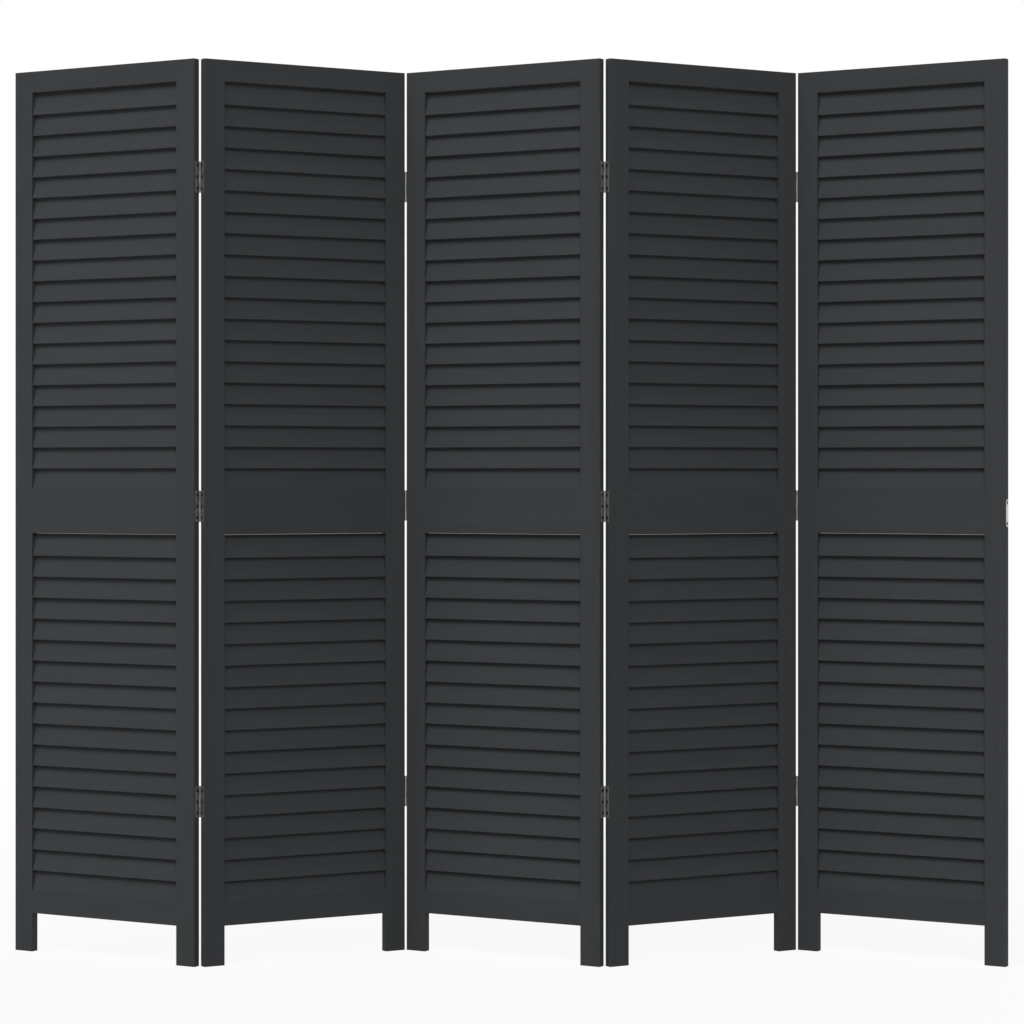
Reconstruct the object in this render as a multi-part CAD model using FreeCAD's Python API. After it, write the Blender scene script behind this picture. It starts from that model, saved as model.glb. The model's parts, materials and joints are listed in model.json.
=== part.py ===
"""Folding screen of five louvred wooden panels, joined by butt hinges and standing in a zigzag.

Millimetres, Z up. The origin is on the floor under the centre of the middle panel.
In a panel's own frame X runs along its width, Y from its front face to its back face, Z up.
"""
import FreeCAD, Part
import math
import os

# Panels and their zigzag
PANEL_COUNT = 5
PANEL_HEIGHT = 1600.0
PANEL_WIDTH = 400.0
PANEL_THICKNESS = 15.0
ZIGZAG_ANGLE = 30.0

# Frame of a panel
STILE_WIDTH = 39.0
STILE_ARRIS = 0.4
LEG_HEIGHT = 70.0
BOTTOM_RAIL_HEIGHT = 41.0
MIDDLE_RAIL_BASE = 761.0
MIDDLE_RAIL_HEIGHT = 81.0
TOP_RAIL_HEIGHT = 38.0
TENON_LENGTH = 20.0
TENON_THICKNESS = 5.0
TENON_SHOULDER = 7.0
TENON_CLEARANCE = 0.1

# Slats
UPPER_SLATS = 19
LOWER_SLATS = 17
SLAT_WIDTH = 41.5
SLAT_THICKNESS = 4.5
SLAT_FACE_INSET = 0.9
SLAT_TOP_SLIT = 0.35
SLAT_BEDDING = 1.1
SLOT_DEPTH = 6.0
SLOT_CLEARANCE = 0.1

# Hinges
HINGE_LENGTH = 55.0
HINGE_LEAF_WIDTH = 12.5
HINGE_LEAF_THICKNESS = 0.7
HINGE_BARREL_DIAMETER = 2.5
HINGE_KNUCKLES = 3
KNUCKLE_END_GAP = 0.4
KNUCKLE_SIDE_GAP = 0.3
UPPER_HINGE_FROM_TOP = 208.0
MIDDLE_HINGE_HEIGHT = 811.0
LOWER_HINGE_HEIGHT = 290.0

# Plate on the free edge of the last panel
EDGE_PLATE_LENGTH = 49.0
EDGE_PLATE_WIDTH = 10.0
EDGE_PLATE_THICKNESS = 1.0
EDGE_PLATE_HEIGHT = 799.0

# Sizes that follow from those above
KNUCKLE_RADIUS = HINGE_BARREL_DIAMETER / 2
KNUCKLE_CLEAR_RADIUS = KNUCKLE_RADIUS + KNUCKLE_SIDE_GAP
PANEL_GAP = HINGE_BARREL_DIAMETER
AXIS_OFFSET = math.sqrt(KNUCKLE_CLEAR_RADIUS ** 2 - KNUCKLE_RADIUS ** 2)
HINGE_HEIGHTS = (LOWER_HINGE_HEIGHT, MIDDLE_HINGE_HEIGHT, PANEL_HEIGHT - UPPER_HINGE_FROM_TOP)

BOTTOM_RAIL_TOP = LEG_HEIGHT + BOTTOM_RAIL_HEIGHT
MIDDLE_RAIL_TOP = MIDDLE_RAIL_BASE + MIDDLE_RAIL_HEIGHT
TOP_RAIL_BASE = PANEL_HEIGHT - TOP_RAIL_HEIGHT
OPENING_WIDTH = PANEL_WIDTH - 2 * STILE_WIDTH

# The lean that takes a slat from just inside the front face to just inside the back face
SLAT_DIAGONAL = math.hypot(SLAT_WIDTH, SLAT_THICKNESS)
SLAT_LEAN = (math.asin((PANEL_THICKNESS - 2 * SLAT_FACE_INSET) / SLAT_DIAGONAL)
             - math.atan2(SLAT_THICKNESS, SLAT_WIDTH))

UP = FreeCAD.Vector(0, 0, 1)


def box(low, high):
    """Box between two opposite corners."""
    size = [b - a for a, b in zip(low, high)]
    return Part.makeBox(*size, FreeCAD.Vector(*low))


def rod(radius, base, top):
    """Upright cylinder on the Z axis."""
    return Part.makeCylinder(radius, top - base, FreeCAD.Vector(0, 0, base))


def union(shapes):
    """One solid from shapes that meet."""
    return shapes[0].fuse(shapes[1:]).removeSplitter()


def slat_fronts(opening_base, opening_top, count):
    """Heights of the slats' lower front edges, from the bedded slat up to the one under the rail."""
    lowest = opening_base - SLAT_BEDDING
    highest = opening_top - SLAT_TOP_SLIT - SLAT_WIDTH * math.cos(SLAT_LEAN)
    pitch = (highest - lowest) / (count - 1)
    return [lowest + pitch * number for number in range(count)]


def slat(front_height, end_gap, side_gap):
    """Board that leans back at the top; the gaps grow it into the tool that cuts its slots."""
    start = STILE_WIDTH - SLOT_DEPTH + end_gap
    board = box((start, -side_gap, -side_gap),
                (PANEL_WIDTH - start, SLAT_THICKNESS + side_gap, SLAT_WIDTH + side_gap))
    board.rotate(FreeCAD.Vector(), FreeCAD.Vector(1, 0, 0), -math.degrees(SLAT_LEAN))
    board.translate(FreeCAD.Vector(0, SLAT_FACE_INSET, front_height))
    return board


def slats(fronts):
    """A field of slats, each one a little short of the slots' ends."""
    return [slat(front, SLOT_CLEARANCE, 0) for front in fronts]


def slot_cutters(fronts):
    """Tools for the slanted slots of a field of slats."""
    return [slat(front, 0, SLOT_CLEARANCE) for front in fronts]


def tenon(base, top, clearance):
    """Tongue through a rail, from one stile's mortise to the other's."""
    reach = STILE_WIDTH - TENON_LENGTH - clearance
    front = (PANEL_THICKNESS - TENON_THICKNESS) / 2 - clearance
    return box((reach, front, base + TENON_SHOULDER - clearance),
               (PANEL_WIDTH - reach, PANEL_THICKNESS - front, top - TENON_SHOULDER + clearance))


def rail(base, top, cutters):
    """Rail between the stiles with a tenon at each end, grooved for the slat that beds in it."""
    bar = box((STILE_WIDTH, 0, base), (STILE_WIDTH + OPENING_WIDTH, PANEL_THICKNESS, top))
    joined = union([bar, tenon(base, top, 0)])
    return joined.cut(cutters) if cutters else joined


def stile(cutters):
    """Left stile: arrises taken off its outer edges, slots and mortises cut into its inner side."""
    post = box((0, 0, 0), (STILE_WIDTH, PANEL_THICKNESS, PANEL_HEIGHT))
    outer_edges = [edge for edge in post.Edges
                   if edge.BoundBox.XMax < STILE_WIDTH / 2 and edge.BoundBox.ZLength > LEG_HEIGHT]
    return post.makeChamfer(STILE_ARRIS, outer_edges).cut(cutters)


def mirrored(shape, normal, point=FreeCAD.Vector()):
    """Mirror image across the plane through a point."""
    return shape.mirror(point, normal)


def panel_pieces():
    """Every wooden piece of one panel in its own frame, by name."""
    upper = slat_fronts(MIDDLE_RAIL_TOP, TOP_RAIL_BASE, UPPER_SLATS)
    lower = slat_fronts(BOTTOM_RAIL_TOP, MIDDLE_RAIL_BASE, LOWER_SLATS)
    upper_slots = slot_cutters(upper)
    lower_slots = slot_cutters(lower)
    rails = {
        "top_rail": (TOP_RAIL_BASE, PANEL_HEIGHT, []),
        "middle_rail": (MIDDLE_RAIL_BASE, MIDDLE_RAIL_TOP, upper_slots[:1]),
        "bottom_rail": (LEG_HEIGHT, BOTTOM_RAIL_TOP, lower_slots[:1]),
    }
    mortises = [tenon(base, top, TENON_CLEARANCE) for base, top, _ in rails.values()]
    left = stile(upper_slots + lower_slots + mortises)
    centre = FreeCAD.Vector(PANEL_WIDTH / 2, 0, 0)
    pieces = {name: [rail(*places)] for name, places in rails.items()}
    pieces["left_stile"] = [left]
    pieces["right_stile"] = [mirrored(left, FreeCAD.Vector(1, 0, 0), centre)]
    pieces["upper_slats"] = slats(upper)
    pieces["lower_slats"] = slats(lower)
    return pieces


def knuckle_spans(first):
    """Height ranges of every second knuckle, with a running gap towards its neighbours."""
    pitch = HINGE_LENGTH / HINGE_KNUCKLES
    spans = []
    for number in range(first, HINGE_KNUCKLES, 2):
        base = number * pitch + (KNUCKLE_END_GAP / 2 if number > 0 else 0)
        top = (number + 1) * pitch - (KNUCKLE_END_GAP / 2 if number < HINGE_KNUCKLES - 1 else 0)
        spans.append((base, top))
    return spans


def leaf(spans):
    """Plate on the panel edge at -X, rolled into knuckles round the Z axis, running towards -Y."""
    back = -KNUCKLE_RADIUS
    front = back + HINGE_LEAF_THICKNESS
    pieces = [box((back, -HINGE_LEAF_WIDTH, 0), (front, -KNUCKLE_CLEAR_RADIUS, HINGE_LENGTH))]
    for base, top in spans:
        pieces.append(box((back, -KNUCKLE_CLEAR_RADIUS, base), (front, 0, top)))
        pieces.append(rod(KNUCKLE_RADIUS, base, top))
    return union(pieces)


def folds_back(fold):
    """True where the panels fold back to back, so that the hinge axis lies behind them."""
    return fold % 2 == 0


def axis_point(fold, right_side):
    """Where a fold's hinge axis meets the floor, in the frame of the panel on one side of it."""
    along = PANEL_WIDTH + PANEL_GAP / 2 if right_side else -PANEL_GAP / 2
    across = PANEL_THICKNESS + AXIS_OFFSET if folds_back(fold) else -AXIS_OFFSET
    return FreeCAD.Vector(along, across, 0)


def hinge_leaves(one_leaf, fold, right_side):
    """The three leaves of a fold on one panel, in that panel's frame."""
    facing = one_leaf if folds_back(fold) else mirrored(one_leaf, FreeCAD.Vector(0, 1, 0))
    axis = axis_point(fold, right_side)
    base = FreeCAD.Vector(0, 0, -HINGE_LENGTH / 2)
    return [facing.translated(axis + base + UP * height) for height in HINGE_HEIGHTS]


def edge_plate():
    """Steel plate with round ends on the right-hand edge of a panel."""
    radius = EDGE_PLATE_WIDTH / 2
    middle = PANEL_THICKNESS / 2
    straight = (EDGE_PLATE_LENGTH - EDGE_PLATE_WIDTH) / 2

    def point(across, rise):
        return FreeCAD.Vector(PANEL_WIDTH, middle + across, EDGE_PLATE_HEIGHT + rise)

    outline = Part.Wire([
        Part.makeLine(point(radius, -straight), point(radius, straight)),
        Part.Arc(point(radius, straight), point(0, straight + radius), point(-radius, straight)).toShape(),
        Part.makeLine(point(-radius, straight), point(-radius, -straight)),
        Part.Arc(point(-radius, -straight), point(0, -straight - radius), point(radius, -straight)).toShape(),
    ])
    return Part.Face(outline).extrude(FreeCAD.Vector(EDGE_PLATE_THICKNESS, 0, 0))


def panel_placements():
    """Where the panels stand, hinge axis on hinge axis, with the middle panel over the origin."""
    placements = []
    corner = FreeCAD.Vector()
    for panel in range(PANEL_COUNT):
        turn = FreeCAD.Rotation(UP, -ZIGZAG_ANGLE if panel % 2 == 0 else ZIGZAG_ANGLE)
        if panel > 0:
            axis = placements[-1].multVec(axis_point(panel - 1, True))
            corner = axis - turn.multVec(axis_point(panel - 1, False))
        placements.append(FreeCAD.Placement(corner, turn))
    panel_centre = FreeCAD.Vector(PANEL_WIDTH / 2, PANEL_THICKNESS / 2, 0)
    origin = placements[PANEL_COUNT // 2].multVec(panel_centre)
    for placement in placements:
        placement.move(-origin)
    return placements


def write_node(name, solids, placement):
    """Place a node's solids in the zigzag and write them as one STEP file."""
    placed = [solid.transformed(placement.toMatrix()) for solid in solids]
    shape = placed[0] if len(placed) == 1 else Part.makeCompound(placed)
    shape.exportStep("parts/" + name + ".step")


def main():
    """Build one panel and one hinge, and place copies of them along the zigzag."""
    os.makedirs("parts", exist_ok=True)
    pieces = panel_pieces()
    outer_leaf = leaf(knuckle_spans(0))
    inner_leaf = mirrored(leaf(knuckle_spans(1)), FreeCAD.Vector(1, 0, 0))
    placements = panel_placements()
    for panel, placement in enumerate(placements):
        for name, solids in pieces.items():
            write_node(f"panel_{panel + 1}_{name}", solids, placement)
    for fold in range(PANEL_COUNT - 1):
        left_leaves = hinge_leaves(outer_leaf, fold, True)
        right_leaves = hinge_leaves(inner_leaf, fold, False)
        write_node(f"fold_{fold + 1}_left_leaves", left_leaves, placements[fold])
        write_node(f"fold_{fold + 1}_right_leaves", right_leaves, placements[fold + 1])
    write_node("edge_plate", [edge_plate()], placements[-1])


main()
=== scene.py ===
"""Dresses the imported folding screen: wood and steel finishes, screws, hinge pins, studio and camera."""

import json
import math
import random

import bmesh
import bpy
from mathutils import Matrix, Vector


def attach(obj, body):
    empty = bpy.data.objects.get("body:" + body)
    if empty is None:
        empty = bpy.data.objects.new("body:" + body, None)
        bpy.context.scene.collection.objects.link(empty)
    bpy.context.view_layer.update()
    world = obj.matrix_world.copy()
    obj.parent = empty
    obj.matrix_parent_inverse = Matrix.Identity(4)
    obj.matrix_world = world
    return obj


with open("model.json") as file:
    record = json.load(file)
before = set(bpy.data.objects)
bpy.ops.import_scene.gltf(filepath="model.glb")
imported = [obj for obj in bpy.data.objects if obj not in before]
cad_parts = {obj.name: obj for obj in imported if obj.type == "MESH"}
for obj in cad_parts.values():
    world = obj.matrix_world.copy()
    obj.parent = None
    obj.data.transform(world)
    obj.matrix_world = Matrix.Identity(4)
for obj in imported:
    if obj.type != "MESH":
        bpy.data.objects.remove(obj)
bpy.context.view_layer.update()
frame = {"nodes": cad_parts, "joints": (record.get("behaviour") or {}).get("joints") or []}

MM = 0.001
WHITE = (1.0, 1.0, 1.0, 1.0)

# Sizes shared with the part's source, in millimetres and degrees.
PANEL_COUNT = 5
PANEL_WIDTH = 400.0
PANEL_THICKNESS = 15.0
ZIGZAG_ANGLE = 30.0
HINGE_LENGTH = 55.0
HINGE_HEIGHTS = (290.0, 811.0, 1392.0)
KNUCKLE_RADIUS = 1.25
KNUCKLE_SIDE_GAP = 0.3
LEAF_THICKNESS = 0.7
EDGE_PLATE_HEIGHT = 799.0
EDGE_PLATE_THICKNESS = 1.0
AXIS_OFFSET = math.sqrt((KNUCKLE_RADIUS + KNUCKLE_SIDE_GAP) ** 2 - KNUCKLE_RADIUS ** 2)

# Small hardware that only the visual model has, with lengths in millimetres.
LEAF_SCREW_RISES = (-20.0, 0.0, 20.0)
LEAF_SCREW_FROM_AXIS = 6.9
PLATE_SCREW_RISES = (-18.5, 18.5)
SCREW_RADIUS = 3.1
SCREW_SUNK = 0.05
CROSS_LENGTH = 1.7
CROSS_HALF_WIDTH = 0.4
CROSS_EDGE_HEIGHT = 0.4
CROSS_FLOOR_HEIGHT = 0.06
PIN_RADIUS = 0.8
PIN_HEAD_RISE = 0.3
PIN_SEGMENTS = 20
SCREW_SPIN_SEED = 7
SMOOTH_ANGLE = math.radians(32)

# Profiles from the rim inwards. A screw's ring is a share of its radius with a height in millimetres,
# and a pin head's is a share of its radius with a share of its rise.
SCREW_RINGS = ((1.0, -SCREW_SUNK), (1.0, 0.12), (0.88, 0.26), (0.68, 0.36))
PIN_HEAD_PROFILE = ((1.0, 0.3), (0.8, 0.8), (0.45, 1.0))

# Most values of a noise texture lie between these.
NOISE_LOW = 0.3
NOISE_HIGH = 0.7

# Wood finish. A texture has one length along the grain and one across it, in metres.
BOARD_TEXTURE = (1.2, 0.05)
STREAK_TEXTURE = (0.12, 0.004)
PORE_TEXTURE = (0.02, 0.0009)
SPECK_TEXTURE = (0.0015, 0.0015)
STREAK_TONES = ((NOISE_LOW, (0.0325, 0.0350, 0.0376)),
                (0.5, (0.0372, 0.0400, 0.0428)),
                (0.75, (0.0420, 0.0450, 0.0480)))
BOARD_TONES = ((NOISE_LOW, (0.44, 0.44, 0.44)), (NOISE_HIGH, (0.56, 0.56, 0.56)))
BOARD_SHARE = 0.5
WORN_WOOD = (0.060, 0.060, 0.059, 1.0)
WOOD_WEAR = {"low": 0.0, "high": 0.5, "start": 0.42, "end": 0.68}
WOOD_ROUGHNESS = {"low": 0.72, "high": 0.82}
SPECK_ROUGHNESS = {"low": -0.03, "high": 0.03}
WOOD_SPECULAR = 0.2
WOOD_EDGE = {"radius": 0.8 * MM, "samples": 6}
GRAIN_RELIEF = {"Strength": 0.22, "Distance": 0.25 * MM}
STREAK_HEIGHT = 0.6
PORE_HEIGHT = 0.4

# Steel finishes, with textures in metres.
STEELS = {
    "hinge_steel": {"dark": (0.255, 0.264, 0.257), "light": (0.392, 0.405, 0.395),
                    "roughness": 0.42, "line_length": 0.02},
    "plate_steel": {"dark": (0.50, 0.50, 0.50), "light": (0.62, 0.62, 0.61),
                    "roughness": 0.38, "line_length": 0.03},
    "screw_oxide": {"dark": (0.030, 0.030, 0.029), "light": (0.048, 0.048, 0.046),
                    "roughness": 0.45, "line_length": 0.0004},
}
LINE_WIDTH = 0.0004
LINE_RELIEF = {"Strength": 0.15, "Distance": 0.05 * MM}
LINE_ROUGHNESS = 0.06
BLOTCH_TEXTURE = (0.006, 0.006, 0.009)
BLOTCH_ROUGHNESS = {"low": -0.05, "high": 0.05}
STEEL_EDGE = {"radius": 0.25 * MM, "samples": 4}
STEEL_EDGE_GAIN = 1.25
STEEL_EDGE_SHARE = 0.6
# Painted shade on the steels: ambient occlusion darkens the colour where other surfaces are close, such as
# in the gaps between hinge leaves.
PAINTED_SHADE_REACH = 12 * MM
PAINTED_SHADE_SAMPLES = 8
PAINTED_SHADE_TONE = {"low": 0.56, "high": 1.0, "start": 0.2, "end": 0.9}

# The cosine between a rounded normal and the face's own, from a sharp edge to the plain face.
EDGE_TURN = {"low": 1.0, "high": 0.0, "start": 0.72, "end": 0.97}

# Camera, fitted to the photograph.
IMAGE_SIZE = 1024
FOCAL_PIXELS = 3093.7
AXIS_PIXEL = (505.08, 478.43)
SENSOR_WIDTH = 36.0
CAMERA_PLACE = (0.0028, -5.5525, 0.8603)

# Studio, in metres, watts and degrees. A lamp's azimuth runs from the front round by the left.
AMBIENT = 0.04
LAMP_TARGET = (0.0, 0.0, 0.8)
LAMP_DISTANCE = 25.0
LAMPS = {
    "front_softbox": {"azimuth": -6.0, "elevation": 38.0, "size": 13.0, "power": 2900.0},
    "side_softbox": {"azimuth": 60.0, "elevation": 51.0, "size": 11.0, "power": 2900.0},
    "back_softbox": {"azimuth": 190.0, "elevation": 45.0, "size": 13.0, "power": 2800.0},
}
FLOOR_RADIUS = 60.0
FLOOR_SEGMENTS = 96
FLOOR_COLOUR = (0.7, 0.7, 0.7, 1.0)
FLOOR_GLOW = {"low": 0.92, "high": 1.0, "start": 1.2, "end": 4.0}


class Graph:
    """A node tree that takes each node with its inputs in one call."""

    def __init__(self, owner):
        owner.use_nodes = True
        self.tree = owner.node_tree
        self.tree.nodes.clear()

    def add(self, kind, inputs=None, **settings):
        """Make a node; an input is a number, a colour or another node's output."""
        made = self.tree.nodes.new("ShaderNode" + kind)
        for name, value in settings.items():
            setattr(made, name, value)
        for socket, value in (inputs or {}).items():
            if isinstance(value, bpy.types.NodeSocket):
                self.tree.links.new(value, made.inputs[socket])
            else:
                made.inputs[socket].default_value = value
        return made

    def noise(self, vector, detail, roughness=0.55, distortion=0.0):
        """The value of a noise texture with features one unit long."""
        made = self.add("TexNoise", {"Vector": vector, "Scale": 1.0, "Detail": detail,
                                     "Roughness": roughness, "Distortion": distortion})
        return made.outputs["Fac"]

    def spread(self, value, low, high, start=NOISE_LOW, end=NOISE_HIGH):
        """A value from start to end, mapped to low to high."""
        made = self.add("MapRange", {"Value": value, "From Min": start, "From Max": end,
                                     "To Min": low, "To Max": high})
        return made.outputs["Result"]

    def maths(self, operation, first, second):
        """The result of a Math node."""
        made = self.add("Math", {0: first, 1: second}, operation=operation)
        return made.outputs[0]

    def mix(self, factor, first, second, blend="MIX"):
        """A mixed colour."""
        made = self.add("Mix", {0: factor, 6: first, 7: second}, data_type="RGBA", blend_type=blend)
        return made.outputs[2]

    def ramp(self, value, stops):
        """A colour from a ramp of (place, colour) stops."""
        made = self.add("ValToRGB", {"Fac": value})
        elements = made.color_ramp.elements
        for element, (place, colour) in zip(elements, (stops[0], stops[-1])):
            element.position = place
            element.color = (*colour, 1.0)
        for place, colour in stops[1:-1]:
            elements.new(place).color = (*colour, 1.0)
        return made.outputs["Color"]

    def stretched(self, scale, turn=0.0):
        """Object coordinates turned into a panel's own directions and divided by a scale."""
        place = self.add("TexCoord").outputs["Object"]
        made = self.add("Mapping", {"Vector": place, "Rotation": (0.0, 0.0, turn), "Scale": scale},
                        vector_type="TEXTURE")
        return made.outputs["Vector"]

    def edges(self, radius, samples):
        """A rounded normal, and a mask that is 1 on a sharp edge and 0 away from it."""
        rounded = self.add("Bevel", {"Radius": radius}, samples=samples).outputs["Normal"]
        plain = self.add("NewGeometry").outputs["True Normal"]
        turned = self.add("VectorMath", {0: rounded, 1: plain}, operation="DOT_PRODUCT")
        return rounded, self.spread(turned.outputs["Value"], **EDGE_TURN)

    def relief(self, height, normal, settings):
        """A normal with fine relief from a height."""
        made = self.add("Bump", {"Height": height, "Normal": normal, **settings})
        return made.outputs["Normal"]

    def surface(self, inputs):
        """Finish the tree with a Principled shader."""
        shader = self.add("BsdfPrincipled", inputs).outputs[0]
        self.add("OutputMaterial", {"Surface": shader})


def link(made):
    """Put an object in the scene."""
    bpy.context.scene.collection.objects.link(made)
    return made


def painted_wood(name, turn, grain):
    """Matt black finish over wood, with the grain along one of the panel's own directions."""
    material = bpy.data.materials.new(name)
    graph = Graph(material)

    def texture(lengths):
        """Coordinates with one length along the grain and another across it."""
        along, across = lengths
        return graph.stretched(tuple(along if axis == grain else across for axis in "xyz"), turn)

    board_tone = graph.noise(texture(BOARD_TEXTURE), detail=2.0)
    streaks = graph.noise(texture(STREAK_TEXTURE), detail=4.0, roughness=0.6, distortion=0.4)
    pores = graph.noise(texture(PORE_TEXTURE), detail=3.0, roughness=0.6, distortion=0.2)
    specks = graph.noise(texture(SPECK_TEXTURE), detail=2.0)
    rounded, edge = graph.edges(**WOOD_EDGE)
    tone = graph.ramp(streaks, STREAK_TONES)
    varied = graph.mix(BOARD_SHARE, tone, graph.ramp(board_tone, BOARD_TONES), "OVERLAY")
    wear = graph.maths("MULTIPLY", edge, graph.spread(streaks, **WOOD_WEAR))
    worn = graph.mix(wear, varied, WORN_WOOD)
    gloss = graph.maths("ADD", graph.spread(streaks, **WOOD_ROUGHNESS),
                        graph.spread(specks, **SPECK_ROUGHNESS))
    height = graph.maths("ADD", graph.maths("MULTIPLY", streaks, STREAK_HEIGHT),
                         graph.maths("MULTIPLY", pores, PORE_HEIGHT))
    normal = graph.relief(height, rounded, GRAIN_RELIEF)
    graph.surface({"Base Color": worn, "Roughness": gloss, "Specular IOR Level": WOOD_SPECULAR,
                   "Normal": normal})
    return material


def plated_steel(name, dark, light, roughness, line_length):
    """Plated steel with fine upright lines, soft blotches, brighter edges and painted shade that darkens
    the colour in recesses and gaps.
    """
    material = bpy.data.materials.new(name)
    graph = Graph(material)
    drawn = graph.stretched((LINE_WIDTH, LINE_WIDTH, line_length))
    lines = graph.noise(drawn, detail=4.0, roughness=0.65)
    blotches = graph.noise(graph.stretched(BLOTCH_TEXTURE), detail=3.0, roughness=0.6, distortion=0.3)
    rounded, edge = graph.edges(**STEEL_EDGE)
    tone = graph.ramp(blotches, ((NOISE_LOW, dark), (NOISE_HIGH, light)))
    bright = tuple(min(1.0, STEEL_EDGE_GAIN * part) for part in light)
    worn = graph.mix(graph.maths("MULTIPLY", edge, STEEL_EDGE_SHARE), tone, (*bright, 1.0))
    # Painted shade: ambient occlusion darkens the base colour in recesses and gaps.
    occlusion = graph.add("AmbientOcclusion", {"Distance": PAINTED_SHADE_REACH}, samples=PAINTED_SHADE_SAMPLES)
    painted_shade = graph.spread(occlusion.outputs["AO"], **PAINTED_SHADE_TONE)
    shaded_colour = graph.mix(1.0, worn, painted_shade, "MULTIPLY")
    lined = graph.spread(lines, roughness - LINE_ROUGHNESS, roughness + LINE_ROUGHNESS)
    gloss = graph.maths("ADD", lined, graph.spread(blotches, **BLOTCH_ROUGHNESS))
    normal = graph.relief(lines, rounded, LINE_RELIEF)
    graph.surface({"Base Color": shaded_colour, "Metallic": 1.0, "Roughness": gloss, "Normal": normal})
    return material


def seen_rays(graph):
    """1 for rays that show the surroundings to the camera, directly or in metal, and 0 for light."""
    path = graph.add("LightPath").outputs
    mirrored = graph.maths("MAXIMUM", path["Is Glossy Ray"], path["Is Transmission Ray"])
    return graph.maths("MAXIMUM", path["Is Camera Ray"], mirrored)


def make_world():
    """Even white surroundings that light the object gently and show as white."""
    world = bpy.data.worlds.new("studio")
    bpy.context.scene.world = world
    graph = Graph(world)
    light = graph.add("Background", {"Color": WHITE, "Strength": AMBIENT}).outputs[0]
    white = graph.add("Background", {"Color": WHITE, "Strength": 1.0}).outputs[0]
    mixed = graph.add("MixShader", {0: seen_rays(graph), 1: light, 2: white}).outputs[0]
    graph.add("OutputWorld", {"Surface": mixed})


def make_floor():
    """A wide pale floor that fades into the white surroundings and keeps the screen's shadow."""
    mesh = bpy.data.meshes.new("floor")
    shape = bmesh.new()
    bmesh.ops.create_circle(shape, cap_ends=True, radius=FLOOR_RADIUS, segments=FLOOR_SEGMENTS)
    shape.to_mesh(mesh)
    shape.free()
    material = bpy.data.materials.new("pale_floor")
    graph = Graph(material)
    place = graph.add("TexCoord").outputs["Object"]
    distance = graph.add("VectorMath", {0: place}, operation="LENGTH").outputs["Value"]
    glow = graph.maths("MULTIPLY", graph.spread(distance, **FLOOR_GLOW), seen_rays(graph))
    plain = graph.add("BsdfDiffuse", {"Color": FLOOR_COLOUR}).outputs[0]
    white = graph.add("Emission", {"Color": WHITE, "Strength": 1.0}).outputs[0]
    mixed = graph.add("MixShader", {0: glow, 1: plain, 2: white}).outputs[0]
    graph.add("OutputMaterial", {"Surface": mixed})
    mesh.materials.append(material)
    link(bpy.data.objects.new("floor", mesh))


def make_lamps():
    """Large soft lamps far away, in front of the screen, to its left and behind it."""
    for name, values in LAMPS.items():
        left, rise = math.radians(values["azimuth"]), math.radians(values["elevation"])
        away = Vector((-math.sin(left) * math.cos(rise), -math.cos(left) * math.cos(rise), math.sin(rise)))
        data = bpy.data.lights.new(name, "AREA")
        data.shape = "SQUARE"
        data.size = values["size"]
        data.energy = values["power"]
        lamp = link(bpy.data.objects.new(name, data))
        lamp.location = Vector(LAMP_TARGET) + LAMP_DISTANCE * away
        lamp.rotation_euler = (-away).to_track_quat("-Z", "Y").to_euler()


def make_camera():
    """A level camera that frames the screen as the photograph does."""
    data = bpy.data.cameras.new("camera")
    data.sensor_fit = "HORIZONTAL"
    data.sensor_width = SENSOR_WIDTH
    data.lens = FOCAL_PIXELS / IMAGE_SIZE * SENSOR_WIDTH
    data.shift_x = 0.5 - AXIS_PIXEL[0] / IMAGE_SIZE
    data.shift_y = AXIS_PIXEL[1] / IMAGE_SIZE - 0.5
    data.clip_end = 2 * FLOOR_RADIUS
    camera = link(bpy.data.objects.new("camera", data))
    camera.location = CAMERA_PLACE
    camera.rotation_euler = (math.radians(90), 0.0, 0.0)
    bpy.context.scene.camera = camera


def turn_of(panel):
    """How far a panel is turned about the vertical, in radians."""
    return math.radians(-ZIGZAG_ANGLE if panel % 2 == 1 else ZIGZAG_ANGLE)


def directions(panel):
    """A panel's own directions: along its width, and from its front to its back."""
    turn = turn_of(panel)
    along = Vector((math.cos(turn), math.sin(turn), 0.0))
    across = Vector((-math.sin(turn), math.cos(turn), 0.0))
    return along, across


def fold_axis(fold):
    """Where a fold's hinge axis meets the floor, in metres."""
    joint = next(joint for joint in frame["joints"] if joint["name"] == f"fold_{fold}")
    x, y, _ = joint["pos_m"]
    return Vector((x, y, 0.0))


def circle_points(count):
    """Evenly spaced points of a circle of radius 1."""
    return [(math.cos(math.tau * n / count), math.sin(math.tau * n / count)) for n in range(count)]


def cross_outline():
    """The outline of a cross recess, in 24 points."""
    arm, half = CROSS_LENGTH, CROSS_HALF_WIDTH
    middle = (arm + half) / 2
    quarter = [(arm, 0.0), (arm, half), (middle, half), (half, half), (half, middle), (half, arm)]
    points = []
    for _ in range(4):
        points += quarter
        quarter = [(-y, x) for x, y in quarter]
    return points


def add_screw(shape, place, normal, spin):
    """A raised screw head with a cross recess, as a closed solid."""
    outline = cross_outline()
    circle = circle_points(len(outline))
    levels = [([(x * share * SCREW_RADIUS, y * share * SCREW_RADIUS) for x, y in circle], height)
              for share, height in SCREW_RINGS]
    levels += [(outline, CROSS_EDGE_HEIGHT), (outline, CROSS_FLOOR_HEIGHT)]
    up = Vector((0.0, 0.0, 1.0))
    basis = Matrix((normal.cross(up), up, normal)).transposed() @ Matrix.Rotation(spin, 3, "Z")
    rings = [[shape.verts.new(place + basis @ Vector((x, y, height)) * MM) for x, y in points]
             for points, height in levels]
    close_rings(shape, rings)


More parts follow.
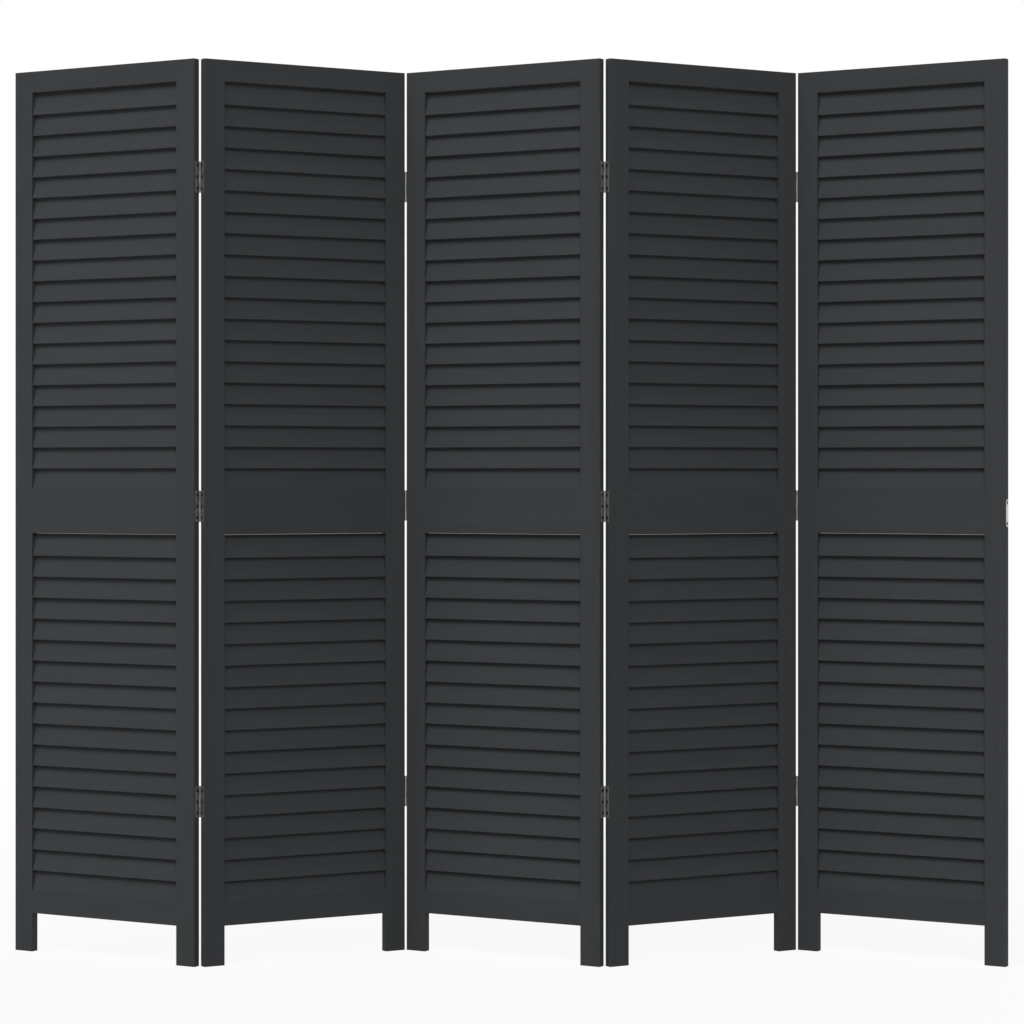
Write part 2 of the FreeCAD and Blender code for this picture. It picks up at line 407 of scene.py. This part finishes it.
def add_pin(shape, axis, height):
    """A hinge pin with a rounded head at each end."""
    half = HINGE_LENGTH / 2
    head = [(share * PIN_RADIUS, half + rise * PIN_HEAD_RISE) for share, rise in PIN_HEAD_PROFILE]
    levels = [(radius, -rise) for radius, rise in reversed(head)] + head
    circle = circle_points(PIN_SEGMENTS)
    rings = []
    for radius, rise in levels:
        points = [Vector((x * radius, y * radius, height + rise)) for x, y in circle]
        rings.append([shape.verts.new(axis + MM * point) for point in points])
    close_rings(shape, rings)


def close_rings(shape, rings):
    """Join rings of points, from the base up, into a closed solid."""
    count = len(rings[0])
    for lower, upper in zip(rings, rings[1:]):
        for n in range(count):
            following = (n + 1) % count
            shape.faces.new((lower[n], lower[following], upper[following], upper[n]))
    shape.faces.new(reversed(rings[0]))
    shape.faces.new(rings[-1])


def finish_piece(name, shape, material, body):
    """Turn a bmesh into a piece of the object that rides on a body."""
    bmesh.ops.recalc_face_normals(shape, faces=shape.faces[:])
    mesh = bpy.data.meshes.new(name)
    shape.to_mesh(mesh)
    shape.free()
    mesh.shade_smooth()
    mesh.set_sharp_from_angle(angle=SMOOTH_ANGLE)
    mesh.materials.append(material)
    piece = link(bpy.data.objects.new(name, mesh))
    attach(piece, body)


def leaf_screws(fold, side, material, draw):
    """The nine screws of a fold's three leaves on one side."""
    panel = fold if side == "left" else fold + 1
    along, across = directions(panel)
    outward = along if side == "left" else -along
    inward = -across if fold % 2 == 1 else across
    surface = (LEAF_THICKNESS - KNUCKLE_RADIUS) * outward + LEAF_SCREW_FROM_AXIS * inward
    face = fold_axis(fold) + MM * surface
    shape = bmesh.new()
    for height in HINGE_HEIGHTS:
        for rise in LEAF_SCREW_RISES:
            place = face + MM * Vector((0.0, 0.0, height + rise))
            add_screw(shape, place, outward, draw.uniform(0.0, math.tau))
    finish_piece(f"fold_{fold}_{side}_screws", shape, material, f"panel_{panel}")


def hinge_pins(fold, material):
    """The three pins of a fold."""
    shape = bmesh.new()
    for height in HINGE_HEIGHTS:
        add_pin(shape, fold_axis(fold), height)
    finish_piece(f"fold_{fold}_pins", shape, material, f"panel_{fold}")


def plate_screws(material, draw):
    """The two screws of the plate on the last panel's free edge."""
    along, across = directions(PANEL_COUNT)
    edge = PANEL_WIDTH + KNUCKLE_RADIUS + EDGE_PLATE_THICKNESS
    middle = PANEL_THICKNESS / 2 + AXIS_OFFSET
    face = fold_axis(PANEL_COUNT - 1) + MM * (edge * along + middle * across)
    shape = bmesh.new()
    for rise in PLATE_SCREW_RISES:
        place = face + MM * Vector((0.0, 0.0, EDGE_PLATE_HEIGHT + rise))
        add_screw(shape, place, along, draw.uniform(0.0, math.tau))
    finish_piece("edge_plate_screws", shape, material, f"panel_{PANEL_COUNT}")


def dress(node, material):
    """Give a CAD node its finish."""
    slots = frame["nodes"][node].data.materials
    slots.clear()
    slots.append(material)


def dress_panels():
    """Wood finishes with upright grain in the stiles and level grain in the rails and slats."""
    upright = painted_wood("black_wood_upright", 0.0, "z")
    level = {turn: painted_wood(f"black_wood_level_{n}", turn, "x")
             for n, turn in enumerate((turn_of(1), turn_of(2)), 1)}
    for panel in range(1, PANEL_COUNT + 1):
        for piece in ("left_stile", "right_stile"):
            dress(f"panel_{panel}_{piece}", upright)
        for piece in ("top_rail", "middle_rail", "bottom_rail", "upper_slats", "lower_slats"):
            dress(f"panel_{panel}_{piece}", level[turn_of(panel)])


def dress_hardware():
    """Steel finishes, and the screws and pins."""
    draw = random.Random(SCREW_SPIN_SEED)
    steels = {name: plated_steel(name, **values) for name, values in STEELS.items()}
    for fold in range(1, PANEL_COUNT):
        for side in ("left", "right"):
            dress(f"fold_{fold}_{side}_leaves", steels["hinge_steel"])
            leaf_screws(fold, side, steels["screw_oxide"], draw)
        hinge_pins(fold, steels["hinge_steel"])
    dress("edge_plate", steels["plate_steel"])
    plate_screws(steels["screw_oxide"], draw)


make_camera()
make_world()
make_floor()
make_lamps()
dress_panels()
dress_hardware()
bpy.context.scene.view_settings.view_transform = "Standard"
